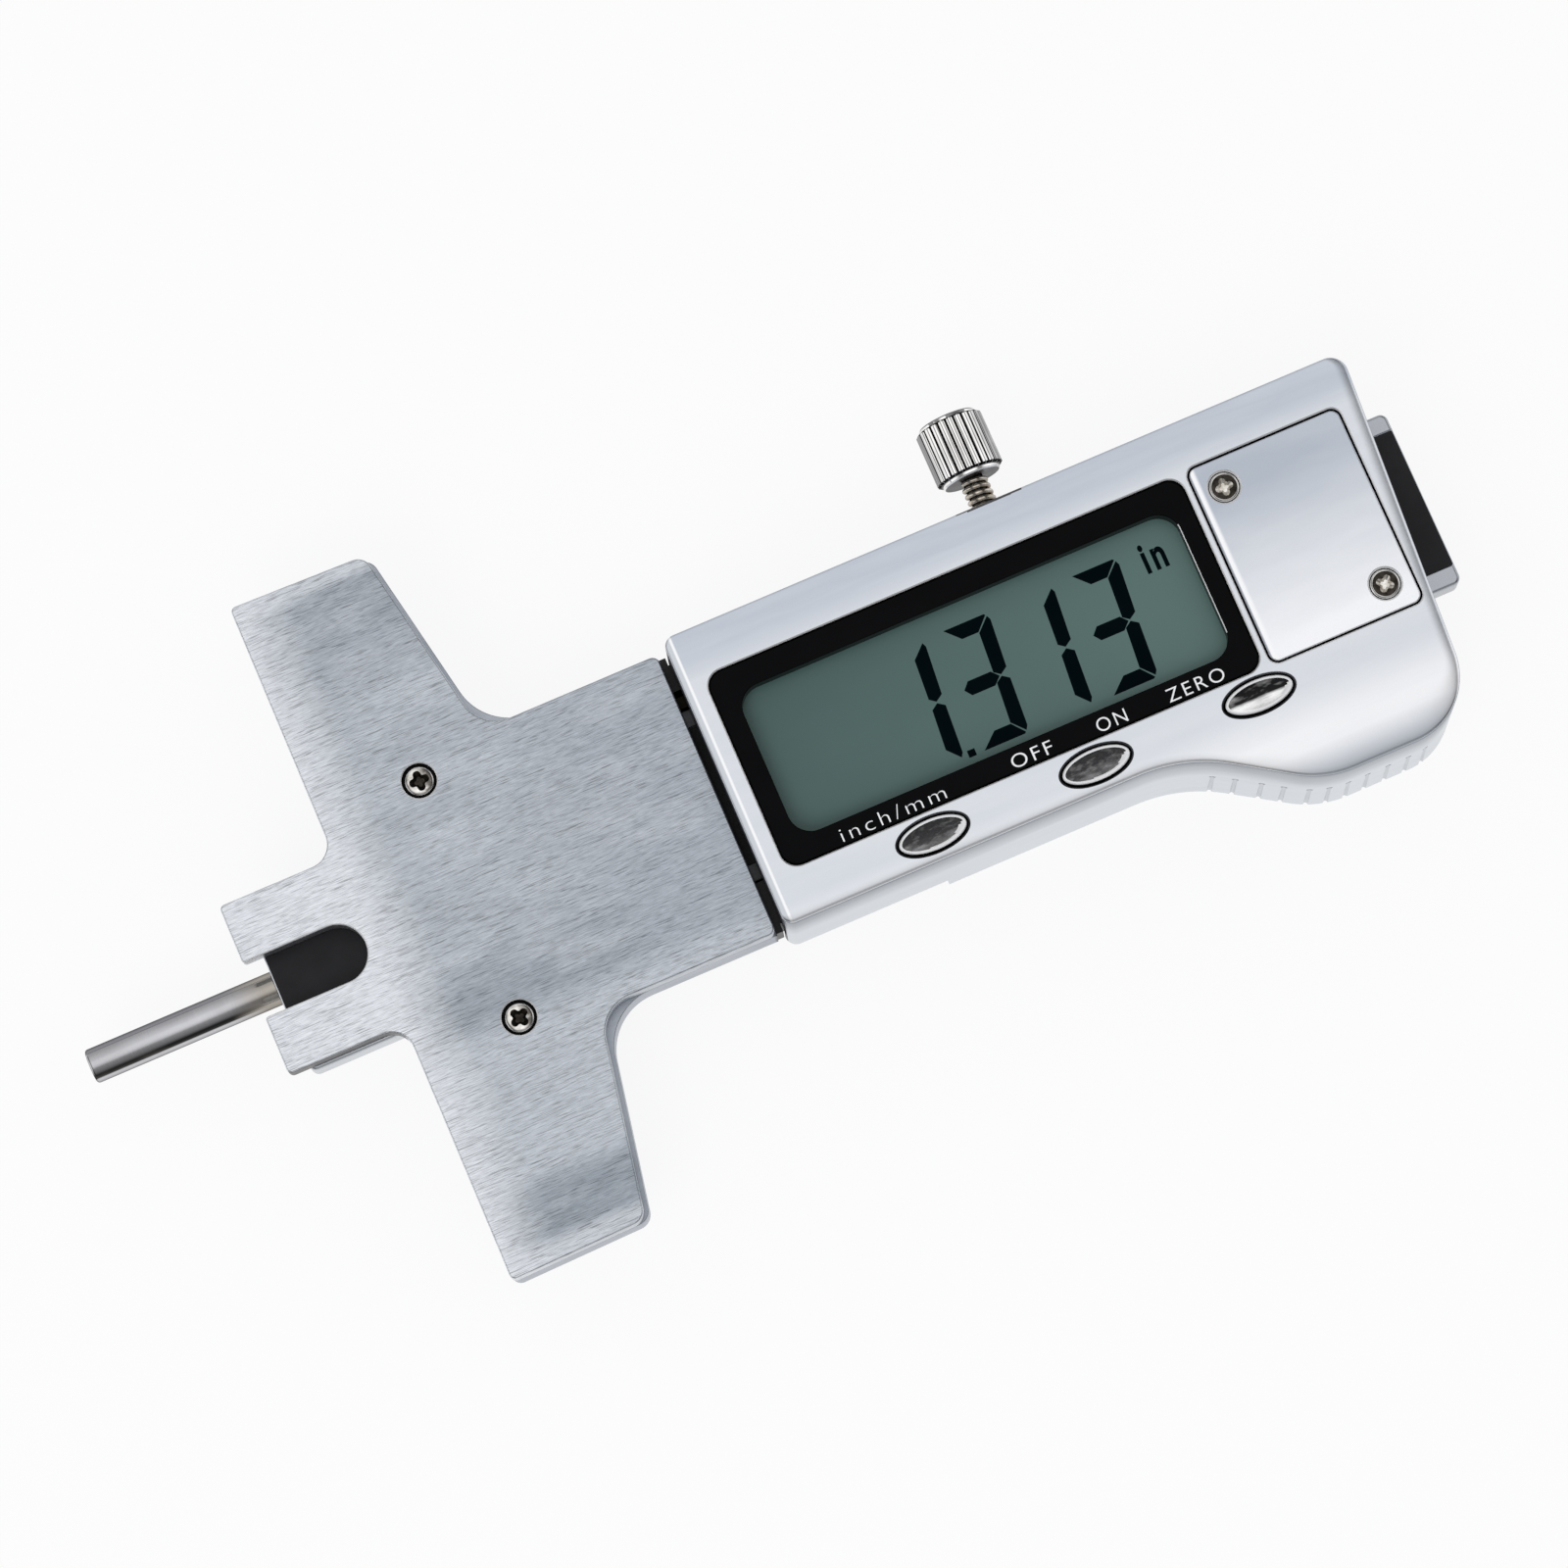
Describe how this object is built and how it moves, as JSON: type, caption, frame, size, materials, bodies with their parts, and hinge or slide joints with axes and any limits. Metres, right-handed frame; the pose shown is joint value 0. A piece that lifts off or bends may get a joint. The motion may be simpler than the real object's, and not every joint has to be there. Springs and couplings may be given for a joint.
{
  "type": "digital depth and string height gauge",
  "caption": "Hand-held digital depth gauge with a T-shaped base, notched feet, round depth rod, sliding flat beam and a display housing with buttons and a lock screw.",
  "frame": {"origin": "middle of the flat back of the housing, on which the gauge rests", "axes": "+X along the beam from the measuring feet to the battery end, +Y across towards the lock screw, +Z out of the display"},
  "size_m": [0.1221, 0.0618, 0.0131],
  "materials": {
    "plate_steel": "satin",
    "frame_steel": "satin",
    "beam_steel": "satin",
    "rod_steel": "polished",
    "strip_black": "matte",
    "screw_steel": "polished",
    "dark_steel": "satin",
    "gib_brass": "satin",
    "housing_chrome": "satin",
    "back_steel": "satin",
    "knob_chrome": "polished",
    "button_chrome": "gloss",
    "window_black": "gloss",
    "lcd_glass": "satin",
    "rubber_dark": "matte",
    "board_green": "satin",
    "black_plastic": "matte",
    "contact_nickel": "satin",
    "cell_steel": "satin"
  },
  "bodies": {
    "gauge_body": {"base_plate": "plate_steel", "base_screw_upper": "screw_steel", "base_screw_lower": "screw_steel", "frame": "frame_steel", "gib_strip": "gib_brass", "gib_spring": "dark_steel", "gib_screw_front": "dark_steel", "gib_screw_rear": "dark_steel", "stop_screw": "dark_steel", "housing": "housing_chrome", "rear_cover": "back_steel", "rear_screw_1": "dark_steel", "rear_screw_2": "dark_steel", "rear_screw_3": "dark_steel", "rear_screw_4": "dark_steel", "display_window": "window_black", "lcd_panel": "lcd_glass", "lcd_connector_upper": "rubber_dark", "lcd_connector_lower": "rubber_dark", "circuit_board": "board_green", "controller_chip": "black_plastic", "keypad": "rubber_dark", "battery_tray": "black_plastic", "coin_cell": "cell_steel", "battery_contact_negative": "contact_nickel", "battery_contact_positive": "contact_nickel", "battery_cover": "housing_chrome", "cover_screw_upper": "screw_steel", "cover_screw_lower": "screw_steel"},
    "beam": {"beam": "beam_steel", "scale_strip": "strip_black", "depth_rod": "rod_steel"},
    "lock_screw": {"lock_screw": "knob_chrome"},
    "unit_button": {"unit_button": "button_chrome"},
    "power_button": {"power_button": "button_chrome"},
    "zero_button": {"zero_button": "button_chrome"}
  },
  "joints": [
    {"name": "beam_slide", "type": "slide", "parent": "gauge_body", "child": "beam", "axis": [1, 0, 0], "range_m": [-0.0102, 0.0152]},
    {"name": "lock_turn", "type": "hinge", "parent": "gauge_body", "child": "lock_screw", "pos_m": [-0.0011, 0.017, 0.0056], "axis": [0, -1, 0], "range_deg": [0, 180]},
    {"name": "unit_press", "type": "slide", "parent": "gauge_body", "child": "unit_button", "axis": [0, 0, -1], "range_m": [0, 0.0005], "stiffness_N_per_m": 1000},
    {"name": "power_press", "type": "slide", "parent": "gauge_body", "child": "power_button", "axis": [0, 0, -1], "range_m": [0, 0.0005], "stiffness_N_per_m": 1000},
    {"name": "zero_press", "type": "slide", "parent": "gauge_body", "child": "zero_button", "axis": [0, 0, -1], "range_m": [0, 0.0005], "stiffness_N_per_m": 1000}
  ]
}
